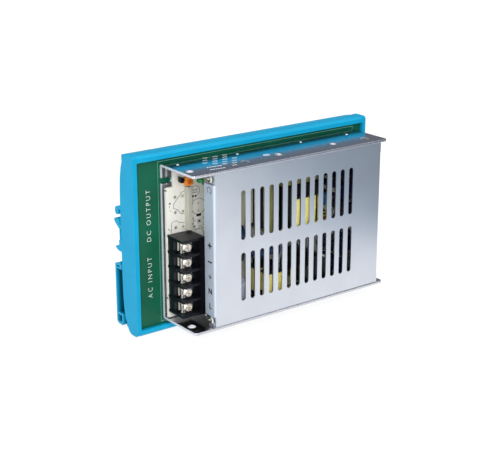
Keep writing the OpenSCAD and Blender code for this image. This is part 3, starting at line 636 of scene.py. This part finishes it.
pads = [(6.6, 28.8), (12.2, 28.6), (6.7, 19.2), (12.3, 19.0), (6.9, 9.6), (12.4, 9.4)]
outlines = (
    ((13.3, 31.4), (11.5, 31.0), (10.3, 29.7), (8.5, 27.7), (5.5, 24.6), (5.4, 22.0), (8.3, 20.7),
     (10.4, 18.0), (13.3, 17.1)),
    ((3.5, 6.7), (4.0, 13.2), (7.3, 14.1), (9.3, 12.4), (13.3, 11.9)),
    ((11.6, 6.4), (11.6, 7.8), (13.3, 7.7)),
)
for outline in outlines:
    ribbon(bm, [on_face(x, z) for x, z in outline], line)
for x, z, r in ((21.1, 30.1, 3.2), (23.4, 20.1, 5.0), (23.4, 2.4, 3.6)):
    ribbon(bm, circle(on_face(x, z), r), line)
for x in (19.8, 21.1, 22.4):
    ribbon(bm, [on_face(x, 28.6), on_face(x, 31.6)], line * 0.7)
for z in (29.2, 31.0):
    ribbon(bm, [on_face(19.0, z), on_face(23.2, z)], line * 0.7)
# component outlines and their short marks below the large circle
frames = (
    (20.4, 11.4, 1.6, 1.2), (23.9, 10.6, 3.0, 2.2), (27.4, 12.2, 1.8, 1.2),
    (20.2, 7.6, 2.2, 1.6), (24.4, 7.2, 2.6, 1.0), (27.6, 8.6, 1.4, 1.8),
)
blocks = (
    (19.6, 27.0, 1.2, 1.3), (21.5, 26.9, 1.2, 1.3), (23.6, 14.6, 3.4, 1.6), (19.4, 13.2, 0.9, 0.5),
    (23.9, 10.6, 1.6, 1.2), (20.2, 7.6, 1.2, 0.8), (19.3, 35.0, 1.4, 0.8), (27.0, 33.6, 1.0, 1.4),
)
for x, z, wide, high in frames:
    box = [on_face(x + sx * wide / 2, z + sz * high / 2) for sx, sz in ((-1, -1), (1, -1), (1, 1), (-1, 1))]
    ribbon(bm, box, line * 0.8, closed=True)
for x, z, wide, high in blocks:
    ribbon(bm, [on_face(x - wide / 2, z), on_face(x + wide / 2, z)], high * MM)
for x, z, reach in ((2.9, 25.3, 0.8), (19.2, 9.6, 0.6)):
    for a in (0, 45, 90, 135):
        arm = Vector((math.cos(math.radians(a)), 0, math.sin(math.radians(a)))) * reach * MM
        ribbon(bm, [on_face(x, z) - arm, on_face(x, z) + arm], line * 0.8)
strokes = (
    ((2.6, 24.0), (2.6, 22.7)), ((2.6, 20.9), (3.8, 20.7)), ((1.2, 9.2), (2.0, 9.9)),
    ((2.0, 9.9), (2.2, 8.6)), ((2.8, 8.5), (3.6, 8.4)), ((19.0, 6.0), (27.5, 5.6)),
    ((19.0, 24.6), (20.0, 24.6)),
)
for start, end in strokes:
    ribbon(bm, [on_face(*start), on_face(*end)], line)
new_piece("board_print", mesh_from("board_print", bm), "silk_black", smooth=None)

bm = bmesh.new()
holes = bmesh.new()
for x, z in pads + [(23.3, 22.2), (23.4, 17.4), (25.6, 6.2), (23.6, 1.2)]:
    spot = on_face(x, z)
    lathe(bm, [(0.42, 0.0), (0.42, 0.05), (0.95, 0.05), (0.95, 0.0)], spot, steps=20)
    lathe(holes, [(0.40, 0.0), (0.40, 0.045), (0, 0.045)], spot, steps=16)
new_piece("pad_rings", mesh_from("pad_rings", bm), "contact_metal", smooth=None)
new_piece("pad_holes", mesh_from("pad_holes", holes), "ring_core", smooth=None)

# ---- Round capacitors ----


def capacitor(name, centre, radius, height, look, stripe_angle, top="can_top"):
    """An electrolytic capacitor: shrink sleeve with a stripe, crimped neck, top with a cross vent."""
    r = radius
    neck = [(r * 0.6, 0.0), (r - 0.35, 0.1), (r, 0.7), (r, 2.0), (r - 0.45, 2.6), (r - 0.45, 3.0), (r, 3.6)]
    shell = neck + [(r, height - 1.0), (r - 0.25, height - 0.35), (r - 0.9, height - 0.06),
                    (r - 1.3, height - 0.14)]
    bm = bmesh.new()
    rows = lathe(bm, shell, centre, steps=48)
    for row in rows:
        for k, face in enumerate(row):
            face.material_index = 1 if abs((k / 48 * 360 - stripe_angle + 180) % 360 - 180) < 14 else 0
    face_h = height - 0.2
    for row in lathe(bm, [(r - 1.32, height - 0.4), (r - 1.5, face_h), (r * 0.5, face_h), (0, face_h)],
                     centre, steps=48):
        for face in row:
            face.material_index = 2
    for k in range(3):
        a = math.radians(60 * k)
        arm = Vector((math.cos(a), 0, math.sin(a))) * r * 0.6 * MM
        lift = Vector((0, -face_h * MM, 0))
        ribbon(bm, [centre + lift - arm, centre + lift + arm], 0.35 * MM)
    for side in (-1, 1):
        foot = centre + Vector((side * r * 0.45 * MM, 0, 0))
        tube(bm, [foot + Vector((0, -0.001, 0)), foot + Vector((0, 0.0022, 0))], 0.4 * MM)
    mesh = mesh_from(name, bm)
    piece = new_piece(name, mesh, look)
    mesh.materials.append(finish_of("barrier"))
    mesh.materials.append(finish_of(top))
    return piece


lo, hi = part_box("bulk_capacitor")
bulk = capacitor("bulk_can", Vector(((lo.x + hi.x) / 2, pcb_lo.y, (lo.z + hi.z) / 2)), (hi.x - lo.x) / 2 / MM,
                 (pcb_lo.y - lo.y) / MM, "black_sleeve", 60, "black_sleeve")
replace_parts(bulk, "bulk_capacitor")

can_places = [(121.5, z) for z in (29, 16.5, -21.5, -34)] + [(134, z) for z in (29, 16, 3, -10, -23)]
cans = [capacitor(f"output_can_{i + 1}", at(x, DECK, z), 5, 21, "blue_sleeve", 60 * i + 100, "blue_sleeve")
        for i, (x, z) in enumerate(can_places)]
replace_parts(cans[0], "output_capacitors")
small = capacitor("ripple_can", at(110.5, DECK, 12.5), 4, 16, "bright_sleeve", 200, "bright_sleeve")
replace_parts(small, "ripple_capacitor")

# ---- Dipped discs ----


def dipped_disc(name, x, z, radius, thick, lift, pitch, look):
    """A disc dipped in epoxy on two wires set along Z, with the coat running a little down the wires."""
    centre = at(x, DECK - lift - radius, z)
    bm = bmesh.new()
    dome = [(0, -0.5 * thick)]
    for i in range(1, 12):
        a = math.pi * i / 12
        dome.append((radius - 0.55 * thick / 2 * (1 - math.sin(a)) - (0.35 if i in (1, 11) else 0),
                     -0.5 * thick * math.cos(a)))
    dome.append((0, 0.5 * thick))
    lathe(bm, dome, centre, "X", 40)
    for side in (-1, 1):
        top = centre + Vector((0, radius * 0.55 * MM, side * pitch / 2 * MM))
        foot = Vector((top.x, pcb_lo.y + 0.0022, top.z))
        lathe(bm, [(1.0, 0.0), (0.75, -radius * 0.45), (0.42, -radius * 0.45 - 0.9)], top, steps=14)
        first = len(bm.faces)
        tube(bm, [top, foot], 0.35 * MM, 10)
        bm.faces.ensure_lookup_table()
        for face in bm.faces[first:]:
            face.material_index = 1
    mesh = mesh_from(name, bm)
    piece = new_piece(name, mesh, look)
    mesh.materials.append(finish_of("solder"))
    return piece


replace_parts(dipped_disc("varistor_disc", 46, 1.5, 6.6, 4.4, 1.5, 7.5, "blue_coat"), "surge_varistor")
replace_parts(dipped_disc("limiter_disc", 46, -13, 6, 4.6, 2, 7.5, "dark_coat"), "inrush_limiter")
discs = [dipped_disc(f"y_disc_{i + 1}", x, z, 4.2, 3.6, 8, 5, "blue_coat")
         for i, (x, z) in enumerate(((53.5, -11), (60.5, -13.5), (67, -13), (73, -14)))]
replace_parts(discs[0], "y_capacitors")

# ---- Wound parts ----


def taped_coil(name, lo, hi, look, axis, wraps=3, radius=0.0022):
    """A coil under tape: rounded block with overlapping bands along its axis."""
    bm = bmesh.new()
    round_box(bm, lo, hi, radius, 5)
    mesh = mesh_from(name, bm)
    piece = new_piece(name, mesh, look)
    width = (hi[axis] - lo[axis]) / wraps
    gap = 0.4 * MM
    bands = bmesh.new()
    for i in range(wraps):
        a, b = lo.copy(), hi.copy()
        a[axis] = lo[axis] + i * width + gap
        b[axis] = a[axis] + width - 2 * gap
        grow = (0.12 + 0.08 * (i % 2)) * MM
        for k in range(3):
            if k != axis:
                a[k] -= grow
                b[k] += grow
        made = bmesh.ops.create_cube(bands, size=1)
        centre, size = (a + b) / 2, b - a
        for v in made["verts"]:
            v.co = Vector([centre[k] + v.co[k] * size[k] for k in range(3)])
        long_edges = [e for e in {e for v in made["verts"] for e in v.link_edges}
                      if abs((e.verts[0].co - e.verts[1].co)[axis]) > 1e-6]
        bmesh.ops.bevel(bands, geom=long_edges, offset=radius, segments=5, profile=0.5, affect="EDGES")
    new_piece(name + "_bands", mesh_from(name, bands), look)
    return piece


lo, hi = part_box("transformer_winding")
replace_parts(taped_coil("transformer_coil", lo, hi, "yellow_tape", 2, 2, 0.003), "transformer_winding")


def wire_coil(bm, centre, half_x, half_y, z0, z1, wire):
    """Turns of wire wound round a rectangular leg that runs along Z."""
    turns = int((z1 - z0) / (wire * 2.02))
    corner = 0.0012
    path = []
    for x, y, a in ((half_x, half_y, 0), (-half_x, half_y, 90), (-half_x, -half_y, 180),
                    (half_x, -half_y, 270)):
        cx, cy = x - math.copysign(corner, x), y - math.copysign(corner, y)
        path += [(cx + corner * math.cos(math.radians(a + t)), cy + corner * math.sin(math.radians(a + t)))
                 for t in (0, 30, 60, 90)]
    points = []
    for i in range(turns * len(path) + 1):
        x, y = path[i % len(path)]
        points.append(centre + Vector((x, y, z0 + wire + (z1 - z0 - 2 * wire) * i / (turns * len(path)))))
    tube(bm, points, wire, 6)


lo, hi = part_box("line_choke_winding")
core_lo, core_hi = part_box("line_choke_core")
bm = bmesh.new()
centre = (lo + hi) / 2
leg_y = (core_lo.y + 2.25 * MM, core_hi.y - 2.25 * MM)
flange, choke_wire = 1.2 * MM, 0.36 * MM
for y in leg_y:
    for layer in range(2):
        half_x, half_y = (5.5 - 0.7 * layer) * MM, (3.6 - 0.6 * layer) * MM
        wire_coil(bm, Vector((centre.x, y, 0)), half_x, half_y, lo.z + flange, hi.z - flange, choke_wire)
choke = new_piece("line_choke_turns", mesh_from("line_choke_turns", bm), "yellow_tape",
                  smooth=60)
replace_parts(choke, "line_choke_winding")
bm = bmesh.new()
for y in leg_y:
    for z in (lo.z, hi.z - 0.001):
        round_box(bm, Vector((lo.x, y - 0.004, z)), Vector((hi.x, y + 0.004, z + 0.001)), 0.0002, 2)
for sx in (-1, 1):
    for sz in (-1, 1):
        foot = Vector((centre.x + sx * 0.005, hi.y, centre.z + sz * 0.007))
        tube(bm, [foot, foot - Vector((0, 0.006, 0))], 0.4 * MM)
new_piece("line_choke_flanges", mesh_from("line_choke_flanges", bm), "black_plastic", smooth=30)

lo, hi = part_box("output_choke")
centre = Vector(((lo.x + hi.x) / 2, lo.y + (hi.z - lo.z) / 2, (lo.z + hi.z) / 2))
outer, inner, half = (hi.z - lo.z) / 2, 2.9 * MM, (hi.x - lo.x) / 2
bm = bmesh.new()
r_in, r_out, side = inner / MM + 1.0, outer / MM - 1.0, half / MM - 1.0
ring = [(r_in, -side), (r_out - 0.2, -side), (r_out, 0.3 - side), (r_out, side - 0.3), (r_out - 0.2, side),
        (r_in, side), (r_in, -side)]
lathe(bm, ring, centre, "X", 48)
new_piece("output_choke_core", mesh_from("output_choke_core", bm), "ring_core")
bm = bmesh.new()
turns = 18
section = []
mid, reach, deep, corner = (inner + outer) / 2, (outer - inner) / 2 - 0.0005, half - 0.0005, 0.0013
for k in range(16):
    a = 2 * math.pi * k / 16
    c, s = math.cos(a), math.sin(a)
    grow = 1 / max(abs(c) ** 4 + abs(s) ** 4, 1e-9) ** 0.25
    section.append((deep * c * grow, mid + reach * s * grow))
points = []
for i in range(turns * 16 + 1):
    x, r = section[i % 16]
    a = math.radians(-165 + 330 * i / (turns * 16)) - math.pi / 2
    points.append(centre + Vector((x, r * math.sin(a), r * math.cos(a))))
tube(bm, points, 0.5 * MM, 8)
wire = new_piece("output_choke_turns", mesh_from("output_choke_turns", bm), "copper_wire",
                 smooth=60)
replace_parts(wire, "output_choke")

# ---- Fuse ----

lo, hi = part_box("fuse")
centre = (lo + hi) / 2
length = (hi.z - lo.z) / MM
bm = bmesh.new()
lathe(bm, [(2.0, -length / 2 + 2), (2.3, -length / 2 + 2), (2.3, length / 2 - 2), (2.0, length / 2 - 2),
           (2.0, -length / 2 + 2)], centre, "Z", 28)
glass = new_piece("fuse_tube", mesh_from("fuse_tube", bm), "fuse_glass")
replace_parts(glass, "fuse")
bm = bmesh.new()
for sign in (-1, 1):
    end = length / 2 * sign
    cap = [(0, end), (2.2, end), (2.6, end - 0.35 * sign), (2.6, end - 4.2 * sign), (2.32, end - 4.4 * sign),
           (0, end - 4.0 * sign)]
    lathe(bm, cap, centre, "Z", 28)
tube(bm, [centre - Vector((0, 0, 0.0065)), centre + Vector((0, 0, 0.0065))], 0.1 * MM)
new_piece("fuse_caps", mesh_from("fuse_caps", bm), "contact_metal")

# ---- Resistors ----

BANDS = ("rotor", "silk_black", "orange", "resistor_body")


def resistor(name, x, z, bands):
    centre = at(x, DECK - 1.6, z)
    bm = bmesh.new()
    profile = [(0.3, -3.3), (0.9, -3.15), (1.3, -2.8), (1.3, -1.8), (1.1, -1.4), (1.1, -1.0), (1.1, -0.5),
               (1.1, 0.0), (1.1, 0.5), (1.1, 1.4), (1.3, 1.8), (1.3, 2.8), (0.9, 3.15), (0.3, 3.3)]
    rows = lathe(bm, profile, centre, "X", 20)
    for row, index in ((3, 1), (5, 2), (7, 3)):
        for face in rows[row]:
            face.material_index = index
    first = len(bm.faces)
    for sign in (-1, 1):
        bend = [centre + Vector((sign * 3.2, 0, 0)) * MM, centre + Vector((sign * 4.4, 0, 0)) * MM]
        bend += [centre + Vector((sign * (4.4 + 0.6 * math.sin(a)), 0.6 * (1 - math.cos(a)), 0)) * MM
                 for a in (math.radians(t) for t in (30, 60, 90))]
        bend.append(Vector((bend[-1].x, pcb_lo.y + 0.0022, centre.z)))
        tube(bm, bend, 0.3 * MM)
    bm.faces.ensure_lookup_table()
    for face in bm.faces[first:]:
        face.material_index = 4
    mesh = mesh_from(name, bm)
    piece = new_piece(name, mesh, "resistor_body")
    for look in [*bands, "solder"]:
        mesh.materials.append(finish_of(look))
    return piece


resistor_places = ((34, 30), (34, 25.5), (34, 21), (34, 12), (34, 7.5), (34, 3))
made = [resistor(f"resistor_{i + 1}", x, z, [BANDS[(i + k) % 4] for k in range(3)])
        for i, (x, z) in enumerate(resistor_places)]
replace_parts(made[0], "resistors")

# ---- Floor, lights and camera ----

lo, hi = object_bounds()
bm = bmesh.new()
bmesh.ops.create_grid(bm, x_segments=2, y_segments=2, size=6.0)
floor_mesh = mesh_from("floor", bm)
floor_mesh.transform(Matrix.Translation((0, 0, lo.z - 0.0005)))
floor = bpy.data.objects.new("floor", floor_mesh)
bpy.context.collection.objects.link(floor)
floor_look = Surface("studio_floor", (0.22, 0.22, 0.22), 0.9, spread=0.01, scale=6, grain=0.0, shine=0.0)
# the floor's own light fades and turns bluish to the right of the front, out of the picture
ahead = floor_look.span(floor_look.along((0.656, -0.755, 0)), 0, 1, 0.17, 0.25)
rightward = floor_look.span(floor_look.along((1, 0.35, 0)), 0, 1, 0.01, 0.15)
faded = floor_look.calc("MULTIPLY", ahead, rightward)
glow = floor_look.bsdf.inputs
floor_look.link(floor_look.ramp(faded, (1, 1, 1), (0.35, 0.68, 1.0), 0, 1), glow["Emission Color"])
floor_look.link(floor_look.span(faded, 0.86, 0.12, 0, 1), glow["Emission Strength"])
floor_mesh.materials.append(floor_look.material)

world = bpy.data.worlds.new("studio")
bpy.context.scene.world = world
world.use_nodes = True
sky = world.node_tree
background = sky.nodes["Background"]
ways = sky.nodes.new("ShaderNodeTexCoord")
split = sky.nodes.new("ShaderNodeSeparateXYZ")
ramp = sky.nodes.new("ShaderNodeValToRGB")
sky.links.new(ways.outputs["Generated"], split.inputs["Vector"])
sky.links.new(split.outputs["Z"], ramp.inputs["Fac"])
stops = ramp.color_ramp.elements
stops[0].position, stops[0].color = 0.02, (0.50, 0.52, 0.58, 1)
stops[1].position, stops[1].color = 0.72, (1.0, 1.0, 1.0, 1)
for where, colour in ((0.10, (0.17, 0.17, 0.20, 1)), (0.42, (0.19, 0.20, 0.24, 1))):
    stop = stops.new(where)
    stop.color = colour


def fade(value, start, end):
    """0 to 1 as the value goes from start to end."""
    node = sky.nodes.new("ShaderNodeMapRange")
    node.inputs["From Min"].default_value = start
    node.inputs["From Max"].default_value = end
    sky.links.new(value, node.inputs["Value"])
    return node


def cover_over(fac, under, colour):
    """A colour over another where fac is 1."""
    node = sky.nodes.new("ShaderNodeMix")
    node.data_type = "RGBA"
    sky.links.new(fac, node.inputs["Factor"])
    sky.links.new(under, node.inputs["A"])
    node.inputs["B"].default_value = colour
    return node.outputs["Result"]


# a dark blue-grey side of the studio, to the right of the front, that ends below the overhead light
aside = sky.nodes.new("ShaderNodeVectorMath")
aside.operation = "DOT_PRODUCT"
sky.links.new(ways.outputs["Generated"], aside.inputs[0])
aside.inputs[1].default_value = (0.70, -0.70, 0.12)
edge = fade(aside.outputs["Value"], 0.15, 0.70)
edge.interpolation_type = "SMOOTHSTEP"
low = fade(split.outputs["Z"], 0.62, 0.40)
aside_low = sky.nodes.new("ShaderNodeMath")
aside_low.operation = "MULTIPLY"
sky.links.new(edge.outputs["Result"], aside_low.inputs[0])
sky.links.new(low.outputs["Result"], aside_low.inputs[1])
darker = cover_over(aside_low.outputs["Value"], ramp.outputs["Color"], (0.05, 0.11, 0.18, 1))
# a pale blue-grey side to the left
left = fade(split.outputs["X"], -0.30, -0.75)
around = cover_over(left.outputs["Result"], darker, (0.62, 0.72, 0.84, 1))
sky.links.new(around, background.inputs["Color"])
background.inputs["Strength"].default_value = 0.95


def softbox(name, where, target, size, power, tint=(1, 1, 1)):
    light = bpy.data.lights.new(name, "AREA")
    light.shape = "RECTANGLE"
    light.size, light.size_y = size
    light.energy = power
    light.color = tint
    lamp = bpy.data.objects.new(name, light)
    bpy.context.collection.objects.link(lamp)
    lamp.location = where
    lamp.rotation_mode = "QUATERNION"
    lamp.rotation_quaternion = (Vector(target) - Vector(where)).to_track_quat("-Z", "Y")
    return lamp


softbox("key", (-0.55, -0.75, 0.95), (0, 0, 0), (0.8, 0.8), 8)
softbox("fill", (-0.75, -1.05, 0.40), (0, 0, 0), (0.7, 0.7), 8)
softbox("top", (0.5, -0.25, 1.1), (0, 0, 0), (0.9, 0.6), 2.5)

camera_data = bpy.data.cameras.new("camera")
camera = bpy.data.objects.new("camera", camera_data)
bpy.context.collection.objects.link(camera)
camera_data.lens, camera_data.sensor_width = 84.6, 36
camera_data.clip_start, camera_data.clip_end = 0.01, 50
azimuth, elevation = math.radians(-36.96), math.radians(18.03)
level = math.cos(elevation)
back = Vector((math.sin(azimuth) * level, -math.cos(azimuth) * level, math.sin(elevation)))
camera.location = (-430.4 * MM, -581.5 * MM, 225.6 * MM)
camera.rotation_mode = "QUATERNION"
camera.rotation_quaternion = (-back).to_track_quat("-Z", "Y")
bpy.context.scene.camera = camera
bpy.context.scene.view_settings.view_transform = "Standard"
